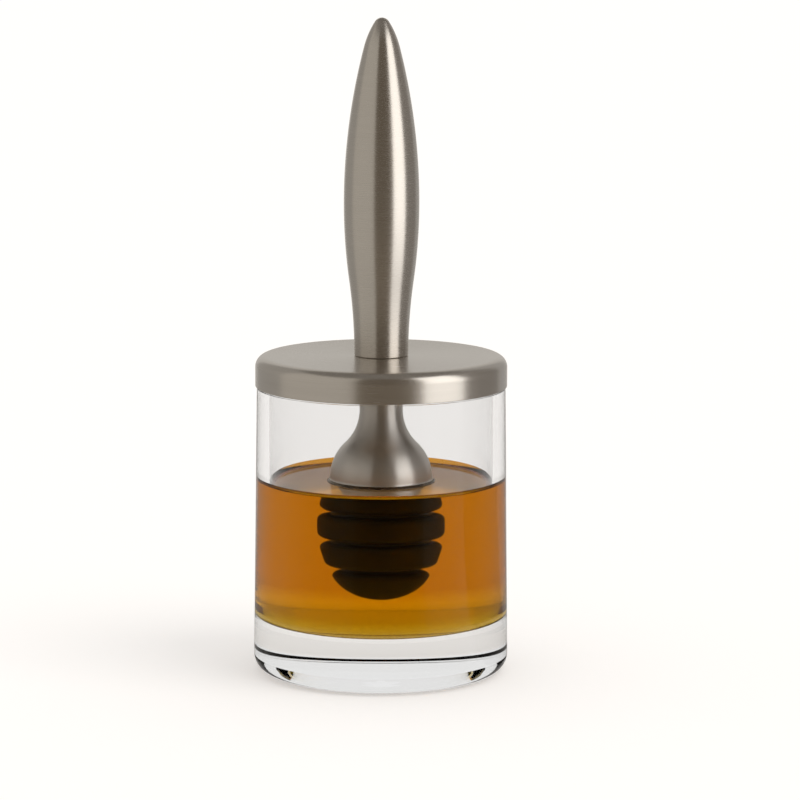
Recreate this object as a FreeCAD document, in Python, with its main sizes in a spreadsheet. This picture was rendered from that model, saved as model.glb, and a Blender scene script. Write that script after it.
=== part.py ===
"""Honey dispenser: a heavy-based glass jar, a drawn steel lid, and a dipper that hangs from the lid.

The dipper is a turned steel handle that stands on the lid, a steel neck and bell that hangs below it
through the lid's hole, and a ribbed silicone head in the honey. All pieces are bodies of revolution about
one upright axis. The origin is the centre of the jar's foot, +Z is up, and sizes are in millimetres.
"""
import FreeCAD, Part
import os
import re
import Sketcher

SIZES = {
    # Jar
    "jar_height": (101.3, "foot to rim"),
    "jar_radius": (40.85, "outside, at the foot"),
    "jar_flare": (1.2, "how much wider the foot is than the shoulder under the lid"),
    "jar_wall": (5.05, "wall at the foot; the cavity is straight, so the wall thins upwards"),
    "floor_height": (17.0, "thickness of the solid base"),
    "floor_rounding": (5.0, "inside corner between the floor and the wall"),
    "foot_rounding": (5.5, "outside corner of the base"),
    "punt_radius": (30.0, "shallow hollow under the base"),
    "punt_depth": (0.8, "depth of that hollow at its middle"),
    "rim_rounding": (0.5, "inside edge of the rim; its outside edge follows the lid's corner"),
    # Lid
    "lid_sheet": (0.6, "steel sheet"),
    "lid_depth": (9.7, "top face to lower edge"),
    "lid_rounding": (3.5, "outside corner between the top face and the skirt"),
    "lid_edge": (0.2, "rounding of the skirt's lower edge"),
    "lid_overhang": (0.5, "how far the skirt stands out from the glass below it"),
    "lid_clearance": (0.15, "skirt to the rim inside it, on the radius"),
    "lid_gap": (0.4, "skirt's lower edge to the glass shoulder"),
    # Handle
    "handle_length": (107.2, "lid to tip"),
    "handle_cover": (1.6, "how far its foot reaches past the lid's hole, on the radius"),
    "handle_edge": (0.4, "rounding of the lower edge"),
    "belly_radius": (11.97, "thickest place"),
    "belly_height": (48.4, "thickest place, above the lid"),
    "tip_length": (9.0, "rounded end, down from the tip"),
    "tip_radius": (5.6, "radius where the rounded end starts"),
    "nose_radius": (2.6, "very tip"),
    # Neck and bell
    "stem_drop": (40.7, "lid's top face to the bell's underside"),
    "stem_clearance": (0.1, "neck to the lid's hole, on the radius"),
    "neck_radius": (6.9, "neck under the lid"),
    "sweep_radius": (15.0, "hollow curve between the neck and the bell"),
    "dome_radius": (14.9, "curve of the bell"),
    "bell_radius": (16.35, "bell above its lip"),
    "lip_overhang": (1.05, "how far the lip stands out"),
    "lip_height": (1.4, "lip, up from the underside"),
    # Dipper head
    "head_length": (36.1, "bell's underside to the lowest point"),
    "head_top": (11.8, "radius under the bell"),
    "head_radius": (13.65, "widest place"),
    "head_nose": (11.0, "radius of the rounded end"),
    "first_groove": (8.2, "bell's underside to the middle of the top groove"),
    "groove_pitch": (9.02, "groove to groove"),
    "groove_width": (1.3, "between two ribs, at the bottom of the groove"),
    "groove_depth": (3.0, "below the surface of the ribs"),
    "rib_rounding": (1.9, "edges of the ribs"),
    # Honey
    "honey_level": (61.5, "foot to the level surface"),
    "meniscus_rise": (1.5, "climb up the glass"),
    "meniscus_width": (2.4, "ring of surface that bends up to the glass"),
}
GROOVES = 3

# Places that several pieces share, written with the names above.
CAVITY = "(jar_radius - jar_wall)"
SHOULDER = "(jar_radius - jar_flare)"
LID = f"({SHOULDER} + lid_overhang)"
SEAT = "(jar_height + lid_sheet)"
SKIRT = f"({SEAT} - lid_depth)"
UNDERSIDE = f"({SEAT} - stem_drop)"
FOOT = "(neck_radius + stem_clearance + handle_cover)"
TIP = f"({SEAT} + handle_length)"
HEAD_END = f"({UNDERSIDE} - head_length)"
BELLY = "(first_groove + groove_pitch / 2)"
REACH = f"(head_length - {BELLY} - head_nose)"
FLANK_CURVE = f"((head_radius^2 + {REACH}^2 - head_nose^2) / (2 * (head_radius - head_nose)))"
CROWN_CURVE = f"(((head_radius - head_top)^2 + {BELLY}^2) / (2 * (head_radius - head_top)))"

document = FreeCAD.newDocument("honey_dispenser")


def make_sheet():
    """Write every size into the spreadsheet under its own name."""
    sheet = document.addObject("Spreadsheet::Sheet", "Sizes")
    for row, (name, (value, meaning)) in enumerate(SIZES.items(), start=1):
        sheet.set(f"A{row}", name)
        sheet.set(f"B{row}", str(value))
        sheet.set(f"C{row}", meaning)
        sheet.setAlias(f"B{row}", name)
    document.recompute()
    return sheet


def bound(text):
    """Turn an expression in the sheet's names into one that any object can be bound to."""
    return re.sub(r"[a-z_]{3,}", lambda word: f"Sizes.{word[0]}" if word[0] in SIZES else word[0], text)


def value(text):
    """Work out an expression in the sheet's names."""
    return float(sheet.evalExpression(bound(text)))


class Outline:
    """A closed outline on a body's XZ plane: the first number of a point is its radius, the second its height.

    A coordinate in `tied` is bound to its expression. Any other only says roughly where the point is,
    and the constraints that follow settle it.
    """

    ORIGIN, UPRIGHT_AXIS = -1, -2
    START, END, CENTRE = 1, 2, 3

    def __init__(self, body, name, radius, height):
        self.sketch = body.newObject("Sketcher::SketchObject", name)
        plane = next(item for item in body.Origin.OriginFeatures if item.Role == "XZ_Plane")
        self.sketch.AttachmentSupport = [(plane, "")]
        self.sketch.MapMode = "FlatFace"
        self.first = self.at = FreeCAD.Vector(value(radius), value(height), 0)
        self.first_text = (radius, height)
        self.joint = self.first_joint = None

    def line(self, radius, height, tied="rh", smooth=False):
        """Add a straight line to a point."""
        end = FreeCAD.Vector(value(radius), value(height), 0)
        self._add(Part.LineSegment(self.at, end), end, (radius, height), tied, smooth)
        return self

    def arc(self, radius, height, bulge, tied="rh", smooth=True):
        """Add an arc to a point; a positive bulge is roughly how far it swells to its right on the way."""
        end = FreeCAD.Vector(value(radius), value(height), 0)
        chord = end - self.at
        swell = FreeCAD.Vector(chord.y, -chord.x, 0).normalize() * value(bulge)
        curve = Part.Arc(self.at, (self.at + end) / 2 + swell, end)
        self._add(curve, end, (radius, height), tied, smooth)
        return self

    def curved(self, radius):
        """Give the last arc its radius."""
        self._bind(self.sketch.addConstraint(Sketcher.Constraint("Radius", self.joint[0], value(radius))), radius)
        return self

    def alike(self):
        """Give the last arc the same radius as the one before it."""
        self.sketch.addConstraint(Sketcher.Constraint("Equal", self.joint[0] - 1, self.joint[0]))
        return self

    def upright(self, end=True):
        """Let the last arc run upright at its end, or at its start."""
        self._line_up("Horizontal", end)
        return self

    def level(self, end=True):
        """Let the last arc run level at its end, or at its start."""
        self._line_up("Vertical", end)
        return self

    def centred(self):
        """Put the last arc's centre on the axis."""
        centre = (self.joint[0], self.CENTRE)
        self.sketch.addConstraint(Sketcher.Constraint("PointOnObject", *centre, self.UPRIGHT_AXIS))
        return self

    def close(self, kind):
        """Close the outline with a straight line and turn it about the axis into a Revolution or a Groove."""
        self._add(Part.LineSegment(self.at, self.first), self.first, self.first_text, "", False)
        self.sketch.addConstraint(Sketcher.Constraint("Coincident", *self.joint, *self.first_joint))
        body = self.sketch.getParentGeoFeatureGroup()
        turned = body.newObject(f"PartDesign::{kind}", f"{self.sketch.Name}_{kind.lower()}")
        turned.Profile = self.sketch
        turned.ReferenceAxis = (self.sketch, ["V_Axis"])
        turned.Angle = 360
        document.recompute()
        return turned

    def _add(self, geometry, end, text, tied, smooth):
        index = self.sketch.addGeometry(geometry, False)
        near = (self.sketch.getPoint(index, self.START) - self.at).Length
        far = (self.sketch.getPoint(index, self.END) - self.at).Length
        here, there = (self.START, self.END) if near < far else (self.END, self.START)
        if self.joint is None:
            self.first_joint = (index, here)
            self._tie(self.first_joint, self.first_text, "rh")
        else:
            meeting = "Tangent" if smooth else "Coincident"
            self.sketch.addConstraint(Sketcher.Constraint(meeting, *self.joint, index, here))
        self.previous = (index, here)
        self.joint = (index, there)
        self.at = end
        self._tie(self.joint, text, tied)

    def _tie(self, joint, text, tied):
        for axis, letter, kind, expression in zip((-2, -1), "rh", ("DistanceX", "DistanceY"), text):
            if letter not in tied:
                continue
            if expression == "0":
                self.sketch.addConstraint(Sketcher.Constraint("PointOnObject", *joint, axis))
                continue
            place = Sketcher.Constraint(kind, self.ORIGIN, self.START, *joint, value(expression))
            self._bind(self.sketch.addConstraint(place), expression)

    def _bind(self, index, expression):
        self.sketch.setExpression(f"Constraints[{index}]", bound(expression))

    def _line_up(self, kind, end):
        point = self.joint if end else self.previous
        self.sketch.addConstraint(Sketcher.Constraint(kind, *point, self.joint[0], self.CENTRE))


def make_body(name):
    """Start a body whose label becomes its node's name."""
    body = document.addObject("PartDesign::Body", name)
    body.Label = name
    return body


def circles(shape):
    """List the round edges of a shape, each with its name; the point that a pole leaves is no edge."""
    return [
        (f"Edge{number}", edge)
        for number, edge in enumerate(shape.Edges, start=1)
        if not edge.Degenerated and isinstance(edge.Curve, Part.Circle)
    ]


def rings(feature, *places):
    """Name the round edges of a feature that have the given radii and heights."""
    names = []
    for radius, height in places:
        found = [
            name
            for name, edge in circles(feature.Shape)
            if abs(edge.Curve.Radius - value(radius)) < 0.01
            and abs(edge.Curve.Center.z - value(height)) < 0.01
        ]
        if not found:
            raise RuntimeError(f"{feature.Name} has no round edge at radius {radius}, height {height}")
        names += found
    return names


def round_off(body, feature, name, size, *places):
    """Round the named ring edges of a feature."""
    fillet = body.newObject("PartDesign::Fillet", name)
    fillet.Base = (feature, rings(feature, *places))
    fillet.setExpression("Radius", bound(size))
    document.recompute()
    return fillet


def make_jar():
    """Glass: a solid base, a wall that draws in slightly, and a stepped rim that the lid slips over."""
    body = make_body("glass_jar")
    rim = f"({LID} - lid_sheet - lid_clearance)"
    step = f"({SKIRT} - lid_gap)"
    outside = Outline(body, "jar_outside", "0", "punt_depth")
    outside.arc("punt_radius", "0", "-punt_depth / 4", smooth=False).level(end=False)
    outside.line("jar_radius", "0").line(SHOULDER, step).line(rim, step)
    outside.line(rim, "jar_height").line("0", "jar_height")
    outside.close("Revolution")
    cavity = Outline(body, "jar_cavity", "0", "floor_height")
    cavity.line(CAVITY, "floor_height").line(CAVITY, "jar_height + rim_rounding")
    cavity.line("0", "jar_height + rim_rounding")
    hollow = cavity.close("Groove")
    floor = round_off(body, hollow, "floor_corner", "floor_rounding", (CAVITY, "floor_height"))
    foot = round_off(body, floor, "foot_corner", "foot_rounding", ("jar_radius", "0"))
    lip = round_off(body, foot, "rim_inside", "rim_rounding", (CAVITY, "jar_height"))
    round_off(body, lip, "rim_outside", "lid_rounding - lid_sheet - lid_clearance", (rim, "jar_height"))
    return body


def make_lid():
    """Drawn steel: a disc with a rounded corner, shelled to the sheet, with the hole for the neck."""
    body = make_body("lid")
    disc = Outline(body, "lid_disc", "0", SKIRT)
    disc.line(LID, SKIRT).line(LID, SEAT).line("0", SEAT)
    blank = disc.close("Revolution")
    corner = round_off(body, blank, "lid_corner", "lid_rounding", (LID, SEAT))
    bottom = min(enumerate(corner.Shape.Faces, start=1), key=lambda item: item[1].CenterOfMass.z)[0]
    shell = body.newObject("PartDesign::Thickness", "lid_shell")
    shell.Base = (corner, [f"Face{bottom}"])
    shell.Reversed = True
    shell.setExpression("Value", bound("lid_sheet"))
    document.recompute()
    hole = Outline(body, "lid_hole", "0", "jar_height - lid_sheet")
    hole.line("neck_radius + stem_clearance", "jar_height - lid_sheet")
    hole.line("neck_radius + stem_clearance", f"{SEAT} + lid_sheet").line("0", f"{SEAT} + lid_sheet")
    pierced = hole.close("Groove")
    round_off(body, pierced, "lid_lower_edge", "lid_edge", (LID, SKIRT))
    return body


def make_handle():
    """Turned steel: a slim foot swells to the belly and runs out to a rounded tip, all in tangent arcs."""
    body = make_body("handle")
    outline = Outline(body, "handle_outline", "0", SEAT)
    outline.line(FOOT, SEAT)
    waist = (f"({FOOT} + belly_radius) / 2", f"{SEAT} + belly_height / 2")
    outline.arc(*waist, "-0.4", tied="", smooth=False).upright(end=False)
    outline.arc("belly_radius", f"{SEAT} + belly_height", "0.4").alike().upright()
    outline.arc("tip_radius", f"{TIP} - tip_length", "1.5")
    outline.arc("nose_radius * 0.8", f"{TIP} - nose_radius * 0.5", "0.5", tied="")
    outline.arc("0", TIP, "0.4").curved("nose_radius").centred()
    blank = outline.close("Revolution")
    round_off(body, blank, "handle_lower_edge", "handle_edge", (FOOT, SEAT))
    return body


def make_bell():
    """Turned steel: the neck passes up through the lid to the handle, and flares into a domed bell."""
    body = make_body("bell")
    lip = "(bell_radius + lip_overhang)"
    outline = Outline(body, "bell_outline", "0", UNDERSIDE)
    outline.line(lip, UNDERSIDE).line("bell_radius", f"{UNDERSIDE} + lip_height")
    outline.arc("bell_radius * 0.66", f"{UNDERSIDE} + dome_radius * 0.8", "2.4", tied="", smooth=False)
    outline.curved("dome_radius").upright(end=False)
    outline.arc("neck_radius", f"{UNDERSIDE} + dome_radius * 1.33", "-1.1", tied="r")
    outline.curved("sweep_radius")
    outline.line("neck_radius", SEAT, smooth=True).line("0", SEAT)
    outline.close("Revolution")
    return body


def flank(depth):
    """Radius of the head's outline at a depth below its widest place, on the arc that runs to the nose."""
    return f"(head_radius - {FLANK_CURVE} + sqrt({FLANK_CURVE}^2 - ({depth})^2))"


def crown(depth):
    """Radius of the head's outline at a depth below its widest place, which is negative above it."""
    return f"(head_radius - {CROWN_CURVE} + sqrt({CROWN_CURVE}^2 - ({depth})^2))"


def make_head():
    """Moulded silicone: soft-edged ribs on a rounded head, with a narrow groove below each rib but the last."""
    body = make_body("dipper_head")
    outline = Outline(body, "head_outline", "0", HEAD_END)
    outline.arc("head_nose * 0.8", f"{HEAD_END} + head_nose * 0.4", "2", tied="", smooth=False)
    outline.curved("head_nose").centred()
    for number in reversed(range(GROOVES)):
        surface, curve = (crown, CROWN_CURVE) if number == 0 else (flank, FLANK_CURVE)
        if number == 0:
            outline.arc("head_radius", f"{UNDERSIDE} - {BELLY}", "0.02", smooth=False).curved(FLANK_CURVE)
        add_groove(outline, number, surface, curve)
    outline.arc("head_top", UNDERSIDE, "0.02", smooth=False).curved(CROWN_CURVE)
    outline.line("0", UNDERSIDE)
    outline.close("Revolution")
    return body


def add_groove(outline, number, surface, curve):
    """Draw the outline up to a groove and through it, from the lower rib's edge to the upper rib's."""
    middle = f"(first_groove + {number} * groove_pitch)"
    half = "groove_width / 2"
    below, above = f"({middle} + {half} + rib_rounding)", f"({middle} - {half} - rib_rounding)"
    lower, upper = f"({UNDERSIDE} - {middle} - {half})", f"({UNDERSIDE} - {middle} + {half})"
    bottom = f"({surface(f'{middle} - {BELLY}')} - groove_depth + {half})"
    lower_mouth, upper_mouth = surface(f"{below} - {BELLY}"), surface(f"{above} - {BELLY}")
    deepest = number == GROOVES - 1
    outline.arc(lower_mouth, f"{UNDERSIDE} - {below}", "0.1", smooth=deepest).curved(curve)
    outline.arc(f"{lower_mouth} - rib_rounding", lower, "rib_rounding * 0.3", smooth=False).curved("rib_rounding")
    outline.line(bottom, lower)
    outline.arc(bottom, upper, f"-{half}", smooth=False).level(end=False)
    outline.line(f"{upper_mouth} - rib_rounding", upper)
    outline.arc(upper_mouth, f"{UNDERSIDE} - {above}", "rib_rounding * 0.3", smooth=False).curved("rib_rounding")


def make_honey(bell, head):
    """Honey: what fills the jar up to its level, less the room that the bell and the head take up."""
    body = make_body("honey_fill")
    outline = Outline(body, "honey_outline", "0", "floor_height")
    outline.line(f"{CAVITY} - floor_rounding", "floor_height")
    outline.arc(CAVITY, "floor_height + floor_rounding", "floor_rounding * 0.29")
    outline.line(CAVITY, "honey_level + meniscus_rise")
    inner = (f"{CAVITY} - meniscus_width", "honey_level")
    outline.arc(*inner, "-meniscus_width * 0.15", smooth=False).level()
    outline.line("0", "honey_level")
    outline.close("Revolution")
    dipper = document.addObject("Part::MultiFuse", "dipper_space")
    dipper.Shapes = [bell, head]
    honey = document.addObject("Part::Cut", "honey")
    honey.Base = body
    honey.Tool = dipper
    honey.Label = "honey"
    return honey


def check(nodes):
    """Stop unless every object is sound and every piece is one valid solid."""
    for item in document.Objects:
        if {"Invalid", "Error"} & set(item.State):
            raise RuntimeError(f"{item.Name}: {item.State}")
    for node in nodes:
        shape = node.Shape
        if shape.isNull() or not shape.isValid() or len(shape.Solids) != 1:
            raise RuntimeError(f"{node.Label} isn't one valid solid")


def main():
    """Build the pieces, check them and write one STEP file for each."""
    bell, head = make_bell(), make_head()
    nodes = [make_jar(), make_lid(), make_handle(), bell, head, make_honey(bell, head)]
    document.recompute()
    check(nodes)
    os.makedirs("parts", exist_ok=True)
    for node in nodes:
        node.Shape.exportStep(f"parts/{node.Label}.step")
        box = node.Shape.optimalBoundingBox()
        print(f"{node.Label}: {node.Shape.Volume / 1000:.1f} cm3, z {box.ZMin:.1f} to {box.ZMax:.1f} mm,",
              f"{box.XLength:.1f} mm across")


sheet = make_sheet()
main()
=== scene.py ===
"""Honey dispenser: a glass jar of honey, a satin steel lid and handle, and a ribbed silicone dipper head."""

import logging
import math
from dataclasses import dataclass, field
from enum import Enum
from typing import Callable, ClassVar

import bpy
from mathutils import Matrix, Vector


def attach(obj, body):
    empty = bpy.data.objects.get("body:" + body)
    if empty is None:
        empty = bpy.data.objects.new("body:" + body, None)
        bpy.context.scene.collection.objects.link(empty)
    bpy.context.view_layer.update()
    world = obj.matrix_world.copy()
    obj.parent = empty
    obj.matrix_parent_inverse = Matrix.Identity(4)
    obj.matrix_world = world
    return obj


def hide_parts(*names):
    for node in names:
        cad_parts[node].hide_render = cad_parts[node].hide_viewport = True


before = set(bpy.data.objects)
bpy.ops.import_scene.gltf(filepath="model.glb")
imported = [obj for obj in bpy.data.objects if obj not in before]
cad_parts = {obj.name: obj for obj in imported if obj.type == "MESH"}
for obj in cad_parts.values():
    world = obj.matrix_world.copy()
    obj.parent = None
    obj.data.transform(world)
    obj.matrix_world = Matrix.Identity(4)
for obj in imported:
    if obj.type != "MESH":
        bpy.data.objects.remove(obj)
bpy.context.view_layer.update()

log = logging.getLogger("honey_dispenser")

BODY = "root"
MM = 0.001
Colour = tuple[float, float, float]
Point = tuple[float, float]
ON_AXIS = 1e-6


# ------------------------------------------------------------------------------
# Turning outlines into meshes
# ------------------------------------------------------------------------------


@dataclass
class Outline:
    """Half of a turned piece's section, as radius, height and corner rounding in millimetres."""

    points: list[tuple[float, float, float]] = field(default_factory=list)

    def to(self, radius: float, height: float, rounding: float = 0.0) -> "Outline":
        """Run straight to a point, where the corner may be rounded.

        Args:
            radius: distance of the point from the axis.
            height: height of the point.
            rounding: radius of the rounding at this corner.

        Returns:
            This outline.
        """
        self.points.append((radius, height, rounding))
        return self

    def turn(self, centre: Point, size: float, start: float, end: float, steps: int = 12) -> "Outline":
        """Follow an arc about a centre.

        Args:
            centre: radius and height of the arc's centre.
            size: radius of the arc.
            start: angle of its first point in degrees, from the outward direction up.
            end: angle of its last point.
            steps: number of parts that the arc is cut into.

        Returns:
            This outline.
        """
        for step in range(steps + 1):
            angle = math.radians(start + (end - start) * step / steps)
            self.to(centre[0] + size * math.cos(angle), centre[1] + size * math.sin(angle))
        return self

    def follow(self, surface: Callable[[float], float], low: float, high: float,
               steps: int = 10) -> "Outline":
        """Follow a surface whose radius is given at each height.

        Args:
            surface: gives the radius at a height.
            low: first height.
            high: last height.
            steps: number of parts.

        Returns:
            This outline.
        """
        for step in range(steps + 1):
            height = low + (high - low) * step / steps
            self.to(surface(height), height)
        return self

    def corners(self, closed: bool) -> list[Point]:
        """Work out the roundings, and leave each long run with a point close to both its ends.

        Args:
            closed: whether the outline comes back to its start.

        Returns:
            The finished points.
        """
        rounded: list[Point] = []
        count = len(self.points)
        for index, (radius, height, rounding) in enumerate(self.points):
            if rounding <= 0.0:
                rounded.append((radius, height))
                continue
            before = Vector(self.points[index - 1][:2])
            after = Vector(self.points[(index + 1) % count][:2])
            rounded.extend(fillet(before, Vector((radius, height)), after, rounding))
        return with_guards(rounded, closed)


def sweep(centre: Vector, first: Vector, last: Vector, steps: int) -> list[Point]:
    """Sweep about a centre, the short way from one point to another.

    Args:
        centre: centre of the arc.
        first: where it starts.
        last: where it ends.
        steps: number of parts that it is cut into.

    Returns:
        The points of the arc, with both ends.
    """
    arm = first - centre
    swing = arm.angle_signed(last - centre)
    return [tuple(centre + Matrix.Rotation(-swing * step / steps, 2) @ arm) for step in range(steps + 1)]


def fillet(before: Vector, corner: Vector, after: Vector, size: float, steps: int = 12) -> list[Point]:
    """Round the corner between two straight runs.

    Args:
        before: the point before the corner.
        corner: the corner.
        after: the point after it.
        size: radius of the rounding.
        steps: number of parts of the arc.

    Returns:
        The points of the arc.
    """
    inward, outward = (before - corner).normalized(), (after - corner).normalized()
    half = inward.angle(outward) / 2
    centre = corner + (inward + outward).normalized() * (size / math.sin(half))
    trim = size / math.tan(half)
    return sweep(centre, corner + inward * trim, corner + outward * trim, steps)


def with_guards(points: list[Point], closed: bool, guard: float = 0.25, shortest: float = 1.5) -> list[Point]:
    """Add a point close to both ends of each long straight run, so that its shading stays flat.

    Args:
        points: the outline.
        closed: whether it comes back to its start.
        guard: distance of the added points from the ends, in millimetres.
        shortest: length that a run has to pass to get them.

    Returns:
        The outline with the added points.
    """
    guarded: list[Point] = []
    last = len(points) if closed else len(points) - 1
    for index, point in enumerate(points):
        here = Vector(point)
        guarded.append(tuple(here))
        if index >= last:
            continue
        there = Vector(points[(index + 1) % len(points)])
        run = there - here
        if run.length > shortest:
            step = run.normalized() * guard
            guarded += [tuple(here + step), tuple(there - step)]
    return guarded


def arc_between(start: Point, end: Point, size: float, side: int, steps: int = 24) -> list[Point]:
    """Join two points by an arc.

    Args:
        start: first point.
        end: last point.
        size: radius of the arc.
        side: 1 where the arc's centre lies left of the way from start to end, -1 where it lies right.
        steps: number of parts.

    Returns:
        The arc's points after the first.
    """
    a, b = Vector(start), Vector(end)
    way = b - a
    across = Vector((-way.y, way.x)).normalized() * side
    centre = (a + b) / 2 + across * math.sqrt(max(size * size - way.length_squared / 4, 0.0))
    return sweep(centre, a, b, steps)[1:]


def as_object(name: str, verts: list, faces: list) -> bpy.types.Object:
    """Make an object and link it to the scene.

    Args:
        name: name of the object and of its mesh.
        verts: its corners in metres.
        faces: its faces.

    Returns:
        The new object.
    """
    mesh = bpy.data.meshes.new(name)
    mesh.from_pydata(verts, [], faces)
    made = bpy.data.objects.new(name, mesh)
    bpy.context.scene.collection.objects.link(made)
    return made


@dataclass(frozen=True)
class Lathe:
    """Spins outlines into meshes."""

    facets: int = 224
    crease: float = 38.0

    def spin(self, name: str, outline: Outline, closed: bool = False) -> bpy.types.Object:
        """Spin an outline about the upright axis.

        Args:
            name: name of the new object.
            outline: the section, which either starts and ends on the axis or is closed.
            closed: whether the outline is a closed ring.

        Returns:
            The new object, in metres.
        """
        verts: list[tuple[float, float, float]] = []
        rings: list[list[int]] = []
        for radius, height in outline.corners(closed):
            if radius < ON_AXIS:
                rings.append([len(verts)] * self.facets)
                verts.append((0.0, 0.0, height * MM))
                continue
            rings.append(list(range(len(verts), len(verts) + self.facets)))
            for facet in range(self.facets):
                angle = 2 * math.pi * facet / self.facets
                verts.append((radius * math.cos(angle) * MM, radius * math.sin(angle) * MM, height * MM))
        faces = []
        for lower, upper in zip(rings, rings[1:] + rings[:1] if closed else rings[1:]):
            for facet in range(self.facets):
                after = (facet + 1) % self.facets
                face = list(dict.fromkeys((lower[facet], lower[after], upper[after], upper[facet])))
                if len(face) > 2:
                    faces.append(face)
        piece = as_object(name, verts, faces)
        piece.data.polygons.foreach_set("use_smooth", [True] * len(piece.data.polygons))
        piece.data.set_sharp_from_angle(angle=math.radians(self.crease))
        piece.data.update()
        return piece


# ------------------------------------------------------------------------------
# Finishes
# ------------------------------------------------------------------------------


class Wiring:
    """Adds nodes to a tree and joins them."""

    def __init__(self, tree: bpy.types.NodeTree) -> None:
        """Keep the tree to work on."""
        self.tree = tree

    def node(self, kind: str, **settings: object) -> bpy.types.Node:
        """Add a node.

        Args:
            kind: the node's type.
            settings: its properties.

        Returns:
            The new node.
        """
        node = self.tree.nodes.new(kind)
        for key, value in settings.items():
            setattr(node, key, value)
        return node

    def join(self, source: bpy.types.NodeSocket, target: bpy.types.NodeSocket) -> None:
        """Link two sockets."""
        self.tree.links.new(source, target)

    def feed(self, target: bpy.types.NodeSocket, value: object) -> None:
        """Link a socket to another, or set its number or its colour."""
        if isinstance(value, bpy.types.NodeSocket):
            self.join(value, target)
        else:
            target.default_value = (*value, 1.0) if isinstance(value, tuple) else value

    def fill(self, node: bpy.types.Node, inputs: dict[str, object]) -> None:
        """Link or set several inputs of a node.

        Args:
            node: the node.
            inputs: a socket, number or colour under each input's name.
        """
        for name, value in inputs.items():
            self.feed(node.inputs[name], value)

    def maths(self, operation: str, *values: object) -> bpy.types.NodeSocket:
        """Add a Math node.

        Args:
            operation: its operation.
            values: sockets or numbers for its inputs.

        Returns:
            Its output.
        """
        node = self.node("ShaderNodeMath", operation=operation)
        for socket, value in zip(node.inputs, values):
            self.feed(socket, value)
        return node.outputs[0]

    def noise(self, vector: bpy.types.NodeSocket, scale: object, detail: float = 2.0,
              roughness: float = 0.5, distortion: float = 0.0) -> bpy.types.NodeSocket:
        """Add a Noise Texture.

        Args:
            vector: where the noise is read.
            scale: its scale, a number or a socket.
            detail: its octaves.
            roughness: how much the small octaves count.
            distortion: how much it is twisted.

        Returns:
            Its value.
        """
        node = self.node("ShaderNodeTexNoise")
        self.fill(node, {"Vector": vector, "Scale": scale, "Detail": detail, "Roughness": roughness,
                         "Distortion": distortion})
        return node.outputs["Fac"]

    def split(self, vector: bpy.types.NodeSocket) -> dict[str, bpy.types.NodeSocket]:
        """Split a vector.

        Args:
            vector: the vector.

        Returns:
            Its X, Y and Z by name.
        """
        node = self.node("ShaderNodeSeparateXYZ")
        self.join(vector, node.inputs[0])
        return {socket.name: socket for socket in node.outputs}

    def blend(self, share: bpy.types.NodeSocket, first: object, second: object) -> bpy.types.NodeSocket:
        """Mix two colours.

        Args:
            share: share of the second colour, from 0 to 1.
            first: the first colour, or a socket.
            second: the second.

        Returns:
            The mixed colour.
        """
        node = self.node("ShaderNodeMix", data_type="RGBA")
        colours = [socket for socket in node.inputs if socket.type == "RGBA"]
        for socket, value in zip((node.inputs["Factor"], *colours), (share, first, second)):
            self.feed(socket, value)
        return next(socket for socket in node.outputs if socket.type == "RGBA")

    def bump(self, height: bpy.types.NodeSocket, strength: float, distance: float) -> bpy.types.NodeSocket:
        """Add a Bump node.

        Args:
            height: height of the relief.
            strength: how much it counts.
            distance: depth of the relief in metres.

        Returns:
            The bent normal.
        """
        node = self.node("ShaderNodeBump")
        self.fill(node, {"Height": height, "Strength": strength, "Distance": distance})
        return node.outputs["Normal"]

    def spread(self, value: bpy.types.NodeSocket, low: float, high: float,
               start: float = 0.0, end: float = 1.0) -> bpy.types.NodeSocket:
        """Map a value from one range onto another.

        Args:
            value: the value.
            low: what the start becomes.
            high: what the end becomes.
            start: start of the value's range.
            end: end of the value's range.

        Returns:
            The mapped value.
        """
        node = self.node("ShaderNodeMapRange")
        for socket, number in zip(node.inputs[1:5], (start, end, low, high)):
            socket.default_value = number
        self.join(value, node.inputs["Value"])
        return node.outputs["Result"]

    def absorb(self, colour: Colour, strength: float) -> None:
        """Let a clear material take its colour from how deep it is.

        Args:
            colour: colour that it keeps.
            strength: how fast it takes the rest, for each metre.
        """
        depth = self.node("ShaderNodeVolumeAbsorption")
        self.fill(depth, {"Color": colour, "Density": strength})
        self.join(depth.outputs[0], self.tree.nodes["Material Output"].inputs["Volume"])


def new_group(name: str, inputs: dict[str, float], outputs: tuple[str, ...]) -> Wiring:
    """Start a shader node group.

    Args:
        name: name of the group.
        inputs: its number inputs and what they start at.
        outputs: its number outputs.

    Returns:
        The wiring of the new group.
    """
    tree = bpy.data.node_groups.new(name, "ShaderNodeTree")
    for label, start in inputs.items():
        tree.interface.new_socket(label, in_out="INPUT", socket_type="NodeSocketFloat").default_value = start
    for label in outputs:
        tree.interface.new_socket(label, in_out="OUTPUT", socket_type="NodeSocketFloat")
    return Wiring(tree)


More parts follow.
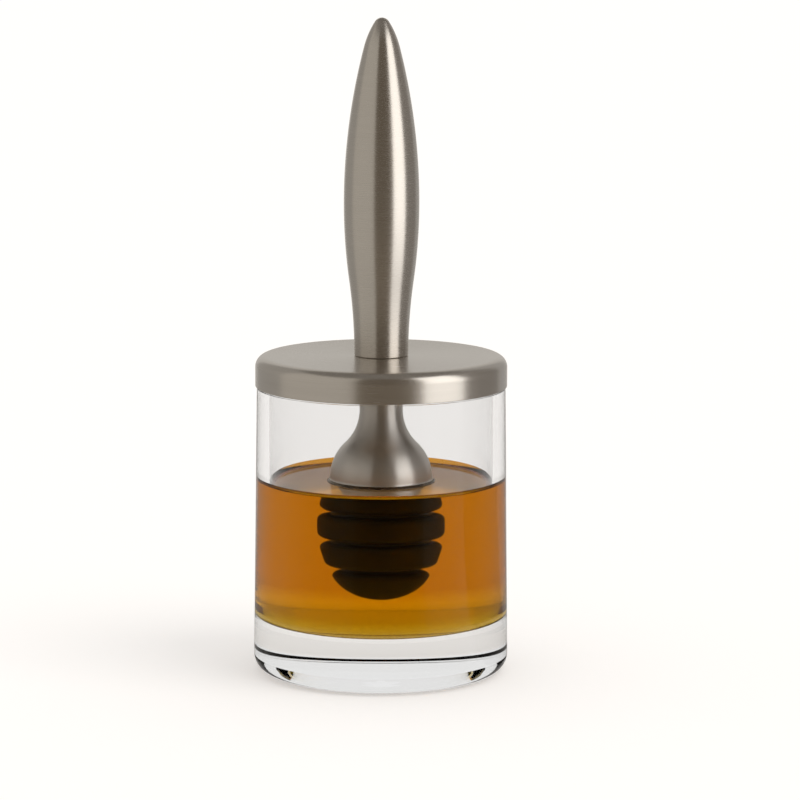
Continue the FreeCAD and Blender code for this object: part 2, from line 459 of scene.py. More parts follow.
def turned_grain() -> bpy.types.NodeTree:
    """Build the grain that a satin belt leaves on a turned piece: fine lines round the axis.

    Returns:
        The group, with a Tone, a Roughness and a Height.
    """
    wiring = new_group("turned_grain", {"Lines": 4200.0, "Streaks": 0.9}, ("Tone", "Roughness", "Height"))
    given = wiring.node("NodeGroupInput").outputs
    x, y, z = wiring.split(wiring.node("ShaderNodeTexCoord").outputs["Object"]).values()
    squares = wiring.maths("ADD", wiring.maths("MULTIPLY", x, x), wiring.maths("MULTIPLY", y, y))
    radius = wiring.maths("SQRT", squares)
    nearest = 0.1 * MM
    safe = wiring.maths("MAXIMUM", radius, nearest)
    across = wiring.maths("ADD", radius, z)

    def around(part: bpy.types.NodeSocket) -> bpy.types.NodeSocket:
        """Read one part of the direction from the axis, stretched into streaks."""
        return wiring.maths("MULTIPLY", wiring.maths("DIVIDE", part, safe), given["Streaks"])

    def lines(fineness: float, offset: float) -> bpy.types.NodeSocket:
        """Read noise that is long round the axis and short across it."""
        joined = wiring.node("ShaderNodeCombineXYZ")
        height = wiring.maths("MULTIPLY", across, wiring.maths("MULTIPLY", given["Lines"], fineness))
        wiring.fill(joined, {"X": around(x), "Y": around(y), "Z": wiring.maths("ADD", height, offset)})
        return wiring.noise(joined.outputs[0], scale=1.0, detail=3.0, roughness=0.6)

    fine, broad = lines(fineness=1.0, offset=0.0), lines(fineness=0.16, offset=31.0)
    fine_share = 0.65
    mixed = wiring.maths("ADD", wiring.maths("MULTIPLY", fine, fine_share),
                         wiring.maths("MULTIPLY", broad, 1.0 - fine_share))
    uneven = 0.025
    wiring.fill(wiring.node("NodeGroupOutput"), {
        "Tone": wiring.spread(mixed, 0.0, 1.0, start=0.3, end=0.7),
        "Roughness": wiring.spread(mixed, -uneven, uneven, start=0.3, end=0.7),
        "Height": mixed,
    })
    return wiring.tree


def handling_marks() -> bpy.types.NodeTree:
    """Build the faint cloudy marks that hands and wiping leave.

    Returns:
        The group, with a Mask from 0 to 1.
    """
    wiring = new_group("handling_marks", {"Scale": 45.0}, ("Mask",))
    place = wiring.node("ShaderNodeTexCoord").outputs["Object"]
    cloud = wiring.noise(place, wiring.node("NodeGroupInput").outputs["Scale"], detail=4.0, distortion=0.6)
    mask = wiring.spread(cloud, 0.0, 1.0, start=0.45, end=0.72)
    wiring.fill(wiring.node("NodeGroupOutput"), {"Mask": mask})
    return wiring.tree


class Workshop:
    """Holds the node groups that the finishes share."""

    groups: ClassVar[dict[str, bpy.types.NodeTree]] = {}

    @classmethod
    def use(cls, wiring: Wiring, maker: Callable[[], bpy.types.NodeTree], **numbers: float) -> bpy.types.Node:
        """Put a shared group into a material.

        Args:
            wiring: the material's wiring.
            maker: the function that builds the group.
            numbers: values for its inputs.

        Returns:
            The group node.
        """
        if maker.__name__ not in cls.groups:
            cls.groups[maker.__name__] = maker()
        node = wiring.node("ShaderNodeGroup", node_tree=cls.groups[maker.__name__])
        for label, value in numbers.items():
            node.inputs[label].default_value = value
        return node


def new_material(name: str) -> tuple[bpy.types.Material, Wiring, bpy.types.Node]:
    """Start a material with a Principled shader.

    Args:
        name: name of the material.

    Returns:
        The material, its wiring and its shader.
    """
    material = bpy.data.materials.new(name)
    material.use_nodes = True
    wiring = Wiring(material.node_tree)
    shader = material.node_tree.nodes["Principled BSDF"]
    return material, wiring, shader


@dataclass(frozen=True)
class SatinSteel:
    """Stainless steel with a fine satin grain, whose highlights are drawn out across the grain."""

    name: str
    tint: Colour = (0.640, 0.598, 0.545)
    shade: Colour = (0.560, 0.522, 0.474)
    least_tint: float = 0.35
    roughness: float = 0.27
    stretch: float = 0.55
    stretch_turn: float = 0.25
    lines: float = 4200.0
    marks: float = 0.02
    mark_scale: float = 45.0
    relief: float = 0.006
    relief_depth: float = 0.0002

    def make(self) -> bpy.types.Material:
        """Build the material.

        Returns:
            The new material.
        """
        material, wiring, shader = new_material(self.name)
        grain = Workshop.use(wiring, turned_grain, Lines=self.lines).outputs
        marks = Workshop.use(wiring, handling_marks, Scale=self.mark_scale).outputs["Mask"]
        uneven = wiring.maths("ADD", grain["Roughness"], wiring.maths("MULTIPLY", marks, self.marks))
        tone = wiring.spread(grain["Tone"], self.least_tint, 1.0)
        wiring.fill(shader, {
            "Metallic": 1.0,
            "Anisotropic": self.stretch,
            "Anisotropic Rotation": self.stretch_turn,
            "Tangent": wiring.node("ShaderNodeTangent", direction_type="RADIAL", axis="Z").outputs[0],
            "Base Color": wiring.blend(tone, self.shade, self.tint),
            "Roughness": wiring.maths("ADD", uneven, self.roughness),
            "Normal": wiring.bump(grain["Height"], self.relief, self.relief_depth),
        })
        return material


@dataclass(frozen=True)
class ClearGlass:
    """Clear glass, tinted where a ray passes its surface and with its own gleam toned down."""

    name: str
    tint: Colour = (0.885, 0.887, 0.890)
    gleam: float = 0.18
    ior: float = 1.52
    smear: float = 0.012
    mark_scale: float = 30.0

    def make(self) -> bpy.types.Material:
        """Build the material.

        Returns:
            The new material.
        """
        material, wiring, shader = new_material(self.name)
        marks = Workshop.use(wiring, handling_marks, Scale=self.mark_scale).outputs["Mask"]
        wiring.fill(shader, {
            "Base Color": self.tint,
            "Transmission Weight": 1.0,
            "IOR": self.ior,
            "Specular Tint": (self.gleam,) * 3,
            "Roughness": wiring.maths("MULTIPLY", marks, self.smear),
        })
        return material


@dataclass(frozen=True)
class AmberHoney:
    """Clear honey. Its colour comes from its depth, with painted light that makes it paler just above the
    floor and a pale painted sheen on its level top face.
    """

    name: str
    surface: Colour = (0.645, 0.313, 0.05)
    swirled: Colour = (0.645, 0.30361, 0.0465)
    swirl_scale: float = 22.0
    # Painted light: the honey is paler and brighter just above the jar's floor, where light comes up through
    # the glass base.
    painted_low_light: Colour = (1.0, 0.75, 0.18)
    painted_low_light_from: float = 17.5
    painted_low_light_to: float = 23.0
    # Painted sheen and light: the pale colour of the level top face stands in for its reflection and for the
    # light seen through it.
    skin: Colour = (1.0, 0.58, 0.23)
    top_light_from: float = 61.40
    top_light_to: float = 61.48
    top_light_clearness: float = 0.48
    flattest: float = 0.99
    stain: Colour = (0.973, 0.915, 0.083)
    strength: float = 120.0
    ior: float = 1.49

    def make(self) -> bpy.types.Material:
        """Build the material.

        Returns:
            The new material.
        """
        material, wiring, shader = new_material(self.name)
        swirl = Workshop.use(wiring, handling_marks, Scale=self.swirl_scale).outputs["Mask"]
        height = wiring.split(wiring.node("ShaderNodeTexCoord").outputs["Object"])["Z"]
        # Share of the painted light just above the jar's floor.
        painted_low_light = wiring.spread(height, 1.0, 0.0, self.painted_low_light_from * MM, self.painted_low_light_to * MM)
        # Mask of the painted sheen and light on the level top face.
        top_light_mask = wiring.maths("MULTIPLY", self.level_faces(wiring),
                              wiring.spread(height, 0.0, 1.0, self.top_light_from * MM, self.top_light_to * MM))
        colour = wiring.blend(swirl, self.surface, self.swirled)
        colour = wiring.blend(painted_low_light, colour, self.painted_low_light)
        wiring.fill(shader, {
            "Base Color": wiring.blend(top_light_mask, colour, self.skin),
            "Transmission Weight": wiring.spread(top_light_mask, 1.0, self.top_light_clearness),
            "Roughness": 0.0,
            "IOR": self.ior,
            "Specular Tint": (0.0, 0.0, 0.0),
        })
        wiring.absorb(self.stain, self.strength)
        return material

    def level_faces(self, wiring: Wiring) -> bpy.types.NodeSocket:
        """Mark the level part of the surface.

        Args:
            wiring: the material's wiring.

        Returns:
            1 on a level face, seen from either side, and 0 on others.
        """
        upright = wiring.split(wiring.node("ShaderNodeNewGeometry").outputs["True Normal"])["Z"]
        return wiring.maths("GREATER_THAN", wiring.maths("ABSOLUTE", upright), self.flattest)


@dataclass(frozen=True)
class MatteSilicone:
    """Moulded black silicone with a fine matte skin."""

    name: str
    colour: Colour = (0.030, 0.029, 0.028)
    worn: Colour = (0.042, 0.041, 0.040)
    mark_scale: float = 60.0
    roughness: float = 0.48
    uneven: float = 0.05
    skin_scale: float = 2600.0
    relief: float = 0.12
    relief_depth: float = 0.0001

    def make(self) -> bpy.types.Material:
        """Build the material.

        Returns:
            The new material.
        """
        material, wiring, shader = new_material(self.name)
        marks = Workshop.use(wiring, handling_marks, Scale=self.mark_scale).outputs["Mask"]
        skin = wiring.noise(wiring.node("ShaderNodeTexCoord").outputs["Object"], self.skin_scale)
        wiring.fill(shader, {
            "Base Color": wiring.blend(marks, self.colour, self.worn),
            "Roughness": wiring.spread(skin, self.roughness - self.uneven, self.roughness + self.uneven),
            "Normal": wiring.bump(skin, self.relief, self.relief_depth),
        })
        return material


Finish = SatinSteel | ClearGlass | AmberHoney | MatteSilicone


class Slot(Enum):
    """The record's material slots."""

    GLASS = "glass"
    STEEL = "brushed_steel"
    SILICONE = "silicone"
    HONEY = "honey"


def dress(piece: bpy.types.Object, slot: Slot, node: str, *finishes: Finish) -> bpy.types.Object:
    """Give a piece its finishes and set it in the frame.

    Args:
        piece: the piece.
        slot: its slot in the record; not used.
        node: the CAD node that it stands for.
        finishes: its main finish, and then any others that some of its faces get.

    Returns:
        The piece.
    """
    for finish in finishes:
        piece.data.materials.append(finish.make())
    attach(piece, BODY)
    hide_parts(node)
    return piece


# ------------------------------------------------------------------------------
# The pieces
# ------------------------------------------------------------------------------


@dataclass(frozen=True)
class Lid:
    """Drawn steel lid that slips over the rim."""

    top: float = 101.9
    radius: float = 40.15
    sheet: float = 0.6
    depth: float = 9.7
    rounding: float = 3.5
    edge: float = 0.2
    inner_edge: float = 0.08
    hole: float = 7.0
    finish: SatinSteel = SatinSteel("satin_steel_lid", lines=3600.0, roughness=0.25, stretch=0.35)

    def build(self) -> bpy.types.Object:
        """Build the lid.

        Returns:
            The piece.
        """
        skirt, inner = self.top - self.depth, self.radius - self.sheet
        outline = Outline()
        outline.to(self.hole, self.top - self.sheet)
        outline.to(inner, self.top - self.sheet, self.rounding - self.sheet)
        outline.to(inner, skirt, self.inner_edge).to(self.radius, skirt, self.edge)
        outline.to(self.radius, self.top, self.rounding).to(self.hole, self.top, self.inner_edge)
        piece = Lathe().spin("steel_lid", outline, closed=True)
        return dress(piece, Slot.STEEL, "lid", self.finish)


@dataclass(frozen=True)
class GlassJar:
    """Clear jar with a thick base and a stepped rim under the lid."""

    lid: Lid
    height: float = 101.3
    radius: float = 40.85
    flare: float = 1.2
    wall: float = 5.05
    floor: float = 17.0
    floor_rounding: float = 5.0
    foot_rounding: float = 5.5
    punt: float = 30.0
    punt_depth: float = 0.8
    punt_parts: int = 12
    rim_rounding: float = 0.5
    step_gap: float = 0.4
    step_rounding: float = 0.1
    clearance: float = 0.15
    honey_line: float = 63.0
    finish: ClearGlass = ClearGlass("clear_glass")
    by_honey: ClearGlass = ClearGlass("glass_under_honey", gleam=0.0)
    solid_base: ClearGlass = ClearGlass("glass_of_base", tint=(0.775, 0.775, 0.770), gleam=0.0)
    corner: ClearGlass = ClearGlass("glass_at_foot", tint=(0.740, 0.738, 0.730), gleam=0.0, ior=1.085)

    @property
    def cavity(self) -> float:
        """Radius of the straight inside."""
        return self.radius - self.wall

    def glass_at(self, middle: Vector, slack: float = 0.01) -> int:
        """Tell which of the glasses a face has.

        Args:
            middle: the middle of the face, in millimetres.
            slack: how far a face may lie off the cavity's wall or floor and still count.

        Returns:
            0 for the clear glass, 1 under the honey, 2 in the base and 3 at the foot's corner.
        """
        out = math.hypot(middle.x, middle.y)
        if out < self.cavity + slack and self.floor - slack < middle.z < self.honey_line:
            return 1
        if out > self.radius - self.foot_rounding and middle.z < self.foot_rounding:
            return 3
        return 2 if middle.z < self.floor else 0

    def build(self) -> bpy.types.Object:
        """Build the jar.

        Returns:
            The piece.
        """
        shoulder = self.radius - self.flare
        step = self.lid.top - self.lid.depth - self.step_gap
        rim = self.lid.radius - self.lid.sheet - self.clearance
        hollow = (self.punt ** 2 + self.punt_depth ** 2) / (2 * self.punt_depth)
        outline = Outline().to(0.0, self.punt_depth)
        for part in range(1, self.punt_parts + 1):
            out = self.punt * part / self.punt_parts
            outline.to(out, self.punt_depth - hollow + math.sqrt(hollow ** 2 - out ** 2))
        outline.to(self.radius, 0.0, self.foot_rounding)
        outline.to(self.radius - self.flare * self.floor / step, self.floor)
        outline.to(shoulder, step, self.step_rounding).to(rim, step, self.step_rounding)
        outline.to(rim, self.height, self.lid.rounding - self.lid.sheet - self.clearance)
        outline.to(self.cavity, self.height, self.rim_rounding)
        outline.to(self.cavity, self.floor, self.floor_rounding).to(0.0, self.floor)
        piece = Lathe(facets=320).spin("glass_jar_wall", outline)
        dress(piece, Slot.GLASS, "glass_jar", self.finish, self.by_honey, self.solid_base, self.corner)
        for face in piece.data.polygons:
            face.material_index = self.glass_at(face.center / MM)
        return piece


@dataclass(frozen=True)
class Handle:
    """Turned steel handle: a slim foot, a belly and a rounded tip."""

    seat: float = 101.9
    length: float = 107.2
    foot: float = 8.6
    edge: float = 0.4
    land: float = 1.2
    draft: float = 0.0005
    belly: float = 11.97
    belly_height: float = 48.4
    tip_length: float = 9.0
    tip_radius: float = 5.6
    nose: float = 2.6
    finish: SatinSteel = SatinSteel("satin_steel_handle", lines=5200.0)

    def outline(self) -> Outline:
        """Draw the section: a short straight land above the seat, and then tangent arcs.

        Returns:
            The section.
        """
        rise, swell = self.belly_height, self.belly - self.foot
        waist = (swell ** 2 + rise ** 2) / (4 * swell)
        middle = ((self.foot + self.belly) / 2, self.seat + rise / 2)
        widest = (self.belly, self.seat + rise)
        tip = self.seat + self.length
        cheek_foot = (self.tip_radius, tip - self.tip_length)
        drop, narrowing = cheek_foot[1] - widest[1], self.belly - self.tip_radius
        shoulder = (narrowing ** 2 + drop ** 2) / (2 * narrowing)
        centre = Vector((self.belly - shoulder, widest[1]))
        start, nose_centre = Vector(cheek_foot), Vector((0.0, tip - self.nose))
        inward = (centre - start).normalized()
        away = start - nose_centre
        cheek = (self.nose ** 2 - away.length_squared) / (2 * (inward.dot(away) + self.nose))
        cheek_centre = start + inward * cheek
        meet = tuple(nose_centre + (nose_centre - cheek_centre).normalized() * self.nose)
        land_top = (self.foot + self.draft, self.seat + self.land)
        outline = Outline().to(0.0, self.seat).to(self.foot, self.seat, self.edge).to(*land_top)
        rest = arc_between(land_top, middle, waist, side=-1)
        rest += arc_between(middle, widest, waist, side=1)
        rest += arc_between(widest, cheek_foot, shoulder, side=1, steps=40)
        rest += arc_between(cheek_foot, meet, cheek, side=1, steps=16)
        rest += arc_between(meet, (0.0, tip), self.nose, side=1, steps=12)
        for radius, height in rest:
            outline.to(max(radius, 0.0), height)
        return outline

    def build(self) -> bpy.types.Object:
        """Build the handle.

        Returns:
            The piece.
        """
        piece = Lathe(facets=192).spin("steel_handle", self.outline())
        return dress(piece, Slot.STEEL, "handle", self.finish)


@dataclass(frozen=True)
class Bell:
    """Turned steel neck that flares into a domed bell with a fine lip, whose lower part has painted shade and
    a painted reflection of the honey.
    """

    seat: float = 101.9
    drop: float = 40.7
    neck: float = 6.9
    neck_edge: float = 0.1
    sweep: float = 15.0
    dome: float = 14.9
    radius: float = 16.35
    lip: float = 1.05
    lip_height: float = 1.4
    lip_edge: float = 0.12
    lip_face: float = 0.25
    lip_shoulder: float = 0.15
    throat_out: float = 0.12
    throat_up: float = 0.8
    throat: float = 0.6
    shaded_lip_share: float = 0.62
    # A brighter copy of the same steel: painted light that makes up for the duller reflections the bell gets
    # inside the jar.
    finish: SatinSteel = SatinSteel("satin_steel_bell", tint=(0.92, 0.87, 0.81), shade=(0.84, 0.79, 0.73),
                                    lines=4800.0, roughness=0.44, stretch=0.8)
    # Painted shade and a painted reflection of the honey: the dark brown colour of the lip's lower part.
    by_honey: SatinSteel = SatinSteel("steel_lip_painted_shade", tint=(0.22, 0.17, 0.12), shade=(0.18, 0.14, 0.10))

    @property
    def underside(self) -> float:
        """Height of the flat underside."""
        return self.seat - self.drop

    def build(self) -> bpy.types.Object:
        """Build the neck and bell.

        Returns:
            The piece.
        """
        low = self.underside
        dome_centre = Vector((self.radius - self.dome, low + self.lip_height))
        across = self.neck + self.sweep - dome_centre.x
        rise = math.sqrt((self.dome + self.sweep) ** 2 - across ** 2)
        sweep_centre = Vector((self.neck + self.sweep, dome_centre.y + rise))
        lean = math.degrees(math.atan2(rise, across))
        outline = Outline().to(0.0, low).to(self.radius + self.lip, low, self.lip_edge)
        outline.to(self.radius + self.lip, low + self.lip_height * self.lip_face, self.lip_shoulder)
        outline.to(self.radius + self.lip * self.throat_out, low + self.lip_height * self.throat_up,
                   self.throat)
        outline.turn(tuple(dome_centre), self.dome, 0.0, lean, steps=28)
        outline.turn(tuple(sweep_centre), self.sweep, 180.0 + lean, 180.0, steps=20)
        outline.to(self.neck, self.seat, self.neck_edge).to(0.0, self.seat)
        piece = Lathe(facets=192).spin("steel_neck_and_bell", outline)
        dress(piece, Slot.STEEL, "bell", self.finish, self.by_honey)
        # The faces of the lip's lower part get the dark brown painted shade.
        for face in piece.data.polygons:
            face.material_index = int(face.center.z / MM < low + self.lip_height * self.shaded_lip_share)
        return piece


@dataclass(frozen=True)
class DipperHead:
    """Moulded silicone head, with soft-edged ribs and a rounded end."""

    top: float = 61.2
    length: float = 36.1
    crown_radius: float = 11.8
    radius: float = 13.65
    nose: float = 11.0
    nose_start: float = -88.0
    first_groove: float = 8.2
    pitch: float = 9.02
    grooves: int = 3
    groove_width: float = 1.3
    groove_depth: float = 3.0
    rib_rounding: float = 1.9
    rib_start: float = 5.0
    rib_lead: float = 0.1
    finish: MatteSilicone = MatteSilicone("black_silicone")

    @property
    def belly(self) -> float:
        """Depth of the widest place below the top."""
        return self.first_groove + self.pitch / 2

    @property
    def reach(self) -> float:
        """Height from the nose's centre up to the widest place."""
        return self.length - self.belly - self.nose

    @property
    def flank(self) -> float:
        """Radius of the arc from the widest place down to the nose."""
        return (self.radius ** 2 + self.reach ** 2 - self.nose ** 2) / (2 * (self.radius - self.nose))

    def surface(self, height: float) -> float:
        """Give the radius of the ribs' faces at a height.

        Args:
            height: height in the frame.

        Returns:
            The radius there.
        """
        off = self.top - height - self.belly
        curve = self.flank
        if off < 0:
            lean = self.radius - self.crown_radius
            curve = (lean ** 2 + self.belly ** 2) / (2 * lean)
        return self.radius - curve + math.sqrt(curve ** 2 - off ** 2)

    def outline(self) -> Outline:
        """Draw the section from the lowest point up.

        Returns:
            The section.
        """
        end = self.top - self.length
        lean = math.degrees(math.atan2(-self.reach, self.flank - self.radius))
        outline = Outline().to(0.0, end)
        outline.turn((0.0, end + self.nose), self.nose, self.nose_start, lean, steps=20)
        height = end + self.nose + self.nose * math.sin(math.radians(lean))
        half = self.groove_width / 2
        for number in reversed(range(self.grooves)):
            middle = self.top - self.first_groove - number * self.pitch
            below, above = middle - half - self.rib_rounding, middle + half + self.rib_rounding
            outline.follow(self.surface, height + (below - height) * self.rib_lead, below, steps=8)
            bottom = self.surface(middle) - self.groove_depth + half
            lower, upper = self.surface(below) - self.rib_rounding, self.surface(above) - self.rib_rounding
            outline.turn((lower, below), self.rib_rounding, self.rib_start, 90.0, steps=10)
            outline.turn((bottom, middle), half, 270.0, 90.0, steps=10)
            outline.turn((upper, above), self.rib_rounding, 270.0, 360.0 - self.rib_start, steps=10)
            height = above
        outline.follow(self.surface, height, self.top, steps=8)
        return outline.to(0.0, self.top)

    def build(self) -> bpy.types.Object:
        """Build the head.

        Returns:
            The piece.
        """
        piece = Lathe(facets=192, crease=50.0).spin("silicone_head", self.outline())
        return dress(piece, Slot.SILICONE, "dipper_head", self.finish)


@dataclass(frozen=True)
class HoneyFill:
    """Honey up to its level, which climbs a little up the glass and closes round the bell and the head."""

    jar: GlassJar
    bell: Bell
    head: DipperHead
    level: float = 61.5
    climb: float = 1.5
    climb_width: float = 2.4
    reach: float = 0.10
    finish: AmberHoney = AmberHoney("amber_honey")

    def build(self) -> bpy.types.Object:
        """Build the honey, which reaches just into the glass, the bell and the head.

        Returns:
            The piece.
        """
        wall, floor = self.jar.cavity + self.reach, self.jar.floor - self.reach
        inner = self.jar.cavity - self.climb_width
        across = wall - inner
        bend = (across ** 2 + self.climb ** 2) / (2 * self.climb)
        swing = math.degrees(math.asin(across / bend))
        outline = Outline().to(0.0, floor).to(wall, floor, self.jar.floor_rounding)
        outline.to(wall, self.level + self.climb)
        outline.turn((inner, self.level + bend), bend, 270.0 + swing, 270.0, steps=14)
        lip = self.bell.radius + self.bell.lip - self.reach
        outline.to(lip, self.level).to(lip, self.bell.underside + self.reach)
        inside = self.head.outline().points
        for radius, height, _ in reversed(inside[1:-1]):
            outline.to(max(radius - self.reach, 0.0), min(height, self.bell.underside + self.reach))
        outline.to(0.0, inside[0][1] + self.reach)
        piece = Lathe(facets=320).spin("honey_fill", outline)
        return dress(piece, Slot.HONEY, "honey", self.finish)


# ------------------------------------------------------------------------------
# The studio
# ------------------------------------------------------------------------------


@dataclass(frozen=True)
class Card:
    """A curved studio card, and the strip of table before it, that only reflections see."""

    name: str
    start: float
    end: float
    colour: Colour
    strength: float
    table: float
    high: float = 0.50
    distance: float = 0.34
    near: float = 0.045
    lift: float = 0.0006
    part_width: float = 4.0

    def build(self) -> None:
        """Build the card and its strip of table, bent round the axis."""
        section = ((self.near, self.lift), (self.distance, self.lift), (self.distance, self.high))
        verts, faces = [], []
        parts, width = max(2, round(abs(self.end - self.start) / self.part_width)), len(section)
        for part in range(parts + 1):
            angle = math.radians(self.start + (self.end - self.start) * part / parts)
            verts += [(math.sin(angle) * away, -math.cos(angle) * away, up) for away, up in section]
        for part in range(parts):
            for first in range(part * width, part * width + width - 1):
                faces.append((first, first + width, first + width + 1, first + 1))
        as_card(as_object(self.name, verts, faces), self.colour, self.strength, self.table)


def as_card(card: bpy.types.Object, colour: Colour, strength: float, table: float,
            full: float = 0.09) -> None:
    """Make a mesh glow for reflections on the steel and on the outside of the glass.

    A ray that has passed one to three surfaces is still inside the glass or the honey and doesn't see it.

    Args:
        card: the mesh.
        colour: its colour.
        strength: its strength from the full height up.
        table: its strength at the table.
        full: the full height in metres.
    """
    material = bpy.data.materials.new(card.name)
    material.use_nodes = True
    material.node_tree.nodes.clear()
    wiring = Wiring(material.node_tree)
    height = wiring.split(wiring.node("ShaderNodeNewGeometry").outputs["Position"])["Z"]
    glow = wiring.node("ShaderNodeEmission")
    wiring.fill(glow, {"Color": colour, "Strength": wiring.spread(height, table, strength, 0.0, full)})
    path = wiring.node("ShaderNodeLightPath").outputs
    mirrored = wiring.maths("MINIMUM", path["Glossy Depth"], 1.0)
    within = wiring.maths("MULTIPLY", wiring.maths("GREATER_THAN", path["Transmission Depth"], 0.5),
                          wiring.maths("LESS_THAN", path["Transmission Depth"], 3.5))
    mix = wiring.node("ShaderNodeMixShader")
    for socket, value in zip(mix.inputs, (
            wiring.maths("MULTIPLY", mirrored, wiring.maths("SUBTRACT", 1.0, within)),
            wiring.node("ShaderNodeBsdfTransparent").outputs[0],
            glow.outputs[0])):
        wiring.join(value, socket)
    wiring.fill(wiring.node("ShaderNodeOutputMaterial"), {"Surface": mix.outputs[0]})
    material.cycles.emission_sampling = "NONE"
    card.data.materials.append(material)
    for kind in ("camera", "diffuse", "shadow", "volume_scatter"):
        setattr(card, f"visible_{kind}", False)


def disc(name: str, radius: float, height: float, parts: int) -> bpy.types.Object:
    """Lay a flat disc about the axis.

    Args:
        name: name of the object.
        radius: its radius in metres.
        height: its height in metres.
        parts: number of its corners.

    Returns:
        The new object.
    """
    verts = [(0.0, 0.0, height)]
    for part in range(parts):
        angle = 2 * math.pi * part / parts
        verts.append((math.cos(angle) * radius, math.sin(angle) * radius, height))
    return as_object(name, verts, [(0, part + 1, (part + 1) % parts + 1) for part in range(parts)])


@dataclass(frozen=True)
class Lamp:
    """A broad far lamp that lights the matte surfaces."""

    name: str
    place: tuple[float, float, float]
    spread: float
    strength: float
    colour: Colour = (1.0, 0.98, 0.95)

    def build(self) -> None:
        """Build the lamp, aimed at the object's foot."""
        data = bpy.data.lights.new(self.name, "SUN")
        data.angle = math.radians(self.spread)
        data.energy = self.strength
        data.color = self.colour
        lamp = bpy.data.objects.new(self.name, data)
        lamp.location = self.place
        lamp.rotation_euler = (-Vector(self.place)).to_track_quat("-Z", "Y").to_euler()
        lamp.visible_glossy = False
        bpy.context.scene.collection.objects.link(lamp)


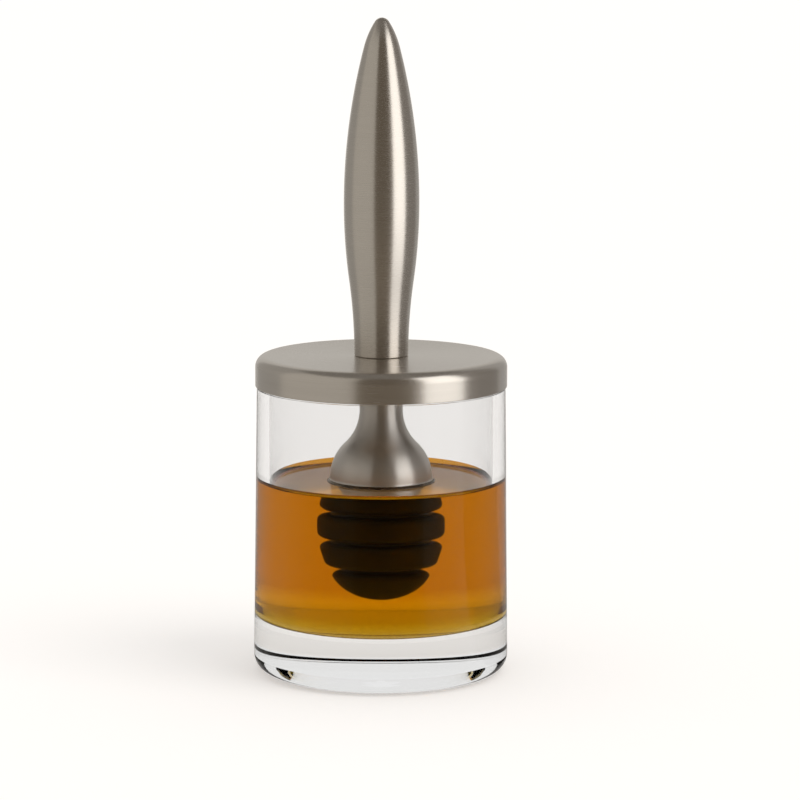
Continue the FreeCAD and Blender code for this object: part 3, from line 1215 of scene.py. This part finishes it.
@dataclass(frozen=True)
class Studio:
    """White floor, plain soft light, and the cards that the steel and glass reflect."""

    floor_radius: float = 7.0
    floor_drop: float = 0.0002
    floor_colour: Colour = (0.80, 0.785, 0.765)
    floor_roughness: float = 0.9
    floor_glow: Colour = (1.0, 0.96, 0.925)
    floor_lift: float = 0.45
    under_lift: float = 1.30
    under_radius: float = 0.040
    plain_level: float = 0.58
    ceiling_radius: float = 0.35
    ceiling_height: float = 0.50
    ceiling_colour: Colour = (1.0, 0.93, 0.85)
    ceiling_level: float = 0.22
    cards: tuple[Card, ...] = (
        Card("card_front", -22.0, 29.0, (1.0, 0.84, 0.66), 0.15, 0.21),
        Card("card_between", 29.0, 36.5, (1.0, 0.90, 0.80), 0.30, 0.42),
        Card("card_softbox", 36.5, 77.0, (1.0, 0.985, 0.965), 1.78, 1.02),
        Card("card_right", 77.0, 128.0, (1.0, 0.93, 0.86), 0.26, 0.26),
        Card("card_right_back", 128.0, 155.0, (1.0, 0.97, 0.93), 0.42, 0.40),
        Card("card_left_back", -150.0, -98.0, (1.0, 0.96, 0.90), 0.38, 0.36),
        Card("card_left", -98.0, -22.0, (1.0, 0.95, 0.87), 0.52, 0.50),
        Card("card_back", 155.0, 210.0, (1.0, 0.97, 0.92), 0.60, 0.55),
    )
    lamp: Lamp = Lamp("key_lamp", (1.5, -0.9, 2.2), spread=40.0, strength=0.70)

    def build(self) -> None:
        """Build the floor, the world, the cards and the lamp."""
        self.build_floor()
        self.build_world()
        for card in self.cards:
            card.build()
        ceiling = disc("card_top", self.ceiling_radius, self.ceiling_height, parts=24)
        as_card(ceiling, self.ceiling_colour, self.ceiling_level, self.ceiling_level)
        self.lamp.build()

    def build_floor(self) -> None:
        """Build the floor, which looks white and keeps the object's shadow.

        It glows for rays that show it, and more where it is seen straight through the glass base.
        """
        floor = disc("studio_floor", self.floor_radius, -self.floor_drop, parts=48)
        material, wiring, shader = new_material("studio_floor")
        away = wiring.node("ShaderNodeVectorMath", operation="LENGTH")
        wiring.join(wiring.node("ShaderNodeNewGeometry").outputs["Position"], away.inputs[0])
        under = wiring.maths("LESS_THAN", away.outputs["Value"], self.under_radius)
        path = wiring.node("ShaderNodeLightPath").outputs
        straight = wiring.maths("LESS_THAN", path["Glossy Depth"], 0.5)
        through = wiring.maths("MULTIPLY", path["Is Transmission Ray"], straight)
        lift = wiring.spread(wiring.maths("MULTIPLY", under, through), self.floor_lift, self.under_lift)
        wiring.fill(shader, {
            "Base Color": self.floor_colour,
            "Roughness": self.floor_roughness,
            "Specular IOR Level": 0.0,
            "Emission Color": self.floor_glow,
            "Emission Strength": wiring.maths("MULTIPLY", seen(wiring), lift),
        })
        floor.data.materials.append(material)

    def build_world(self) -> None:
        """Build the world: white where it is seen, and a plain level of light."""
        world = bpy.data.worlds.new("studio_world")
        bpy.context.scene.world = world
        world.use_nodes = True
        wiring = Wiring(world.node_tree)
        level = wiring.spread(seen(wiring), self.plain_level, 1.0)
        wiring.fill(world.node_tree.nodes["Background"], {"Color": (1.0, 1.0, 1.0), "Strength": level})


def seen(wiring: Wiring) -> bpy.types.NodeSocket:
    """Tell the rays that show a thing from those that only light it.

    Args:
        wiring: the material's or the world's wiring.

    Returns:
        1 for a camera, glossy or transmission ray, and 0 for others.
    """
    path = wiring.node("ShaderNodeLightPath").outputs
    first = wiring.maths("MAXIMUM", path["Is Camera Ray"], path["Is Glossy Ray"])
    return wiring.maths("MAXIMUM", first, path["Is Transmission Ray"])


@dataclass(frozen=True)
class Viewpoint:
    """Where the camera stands, in metres and degrees, and its lens in millimetres."""

    distance: float = 1.2
    height: float = 0.2775
    pitch: float = 9.0
    roll: float = 0.16
    sideways: float = 0.0060
    lens: float = 171.3
    sensor: float = 36.0
    nearest: float = 0.05
    farthest: float = 40.0

    def build(self) -> None:
        """Build the camera and make it the scene's."""
        data = bpy.data.cameras.new("camera")
        data.sensor_width, data.lens = self.sensor, self.lens
        data.clip_start, data.clip_end = self.nearest, self.farthest
        camera = bpy.data.objects.new("camera", data)
        stand = Matrix.Translation((self.sideways, -self.distance, self.height))
        level = Matrix.Rotation(math.radians(90.0 - self.pitch), 4, "X")
        camera.matrix_world = stand @ level @ Matrix.Rotation(math.radians(self.roll), 4, "Z")
        bpy.context.scene.collection.objects.link(camera)
        bpy.context.scene.camera = camera


def main() -> None:
    """Build the dispenser and its studio."""
    logging.basicConfig(level=logging.INFO, format="%(name)s: %(message)s")
    bpy.context.scene.view_settings.view_transform = "Standard"
    Viewpoint().build()
    lid, bell, head = Lid(), Bell(), DipperHead()
    jar = GlassJar(lid)
    for part in (jar, lid, Handle(), bell, head, HoneyFill(jar, bell, head)):
        piece = part.build()
        log.info("%s: %d faces, %s", piece.name, len(piece.data.polygons), piece.data.materials[0].name)
    Studio().build()
    bpy.context.view_layer.update()


if __name__ == "__main__":
    main()
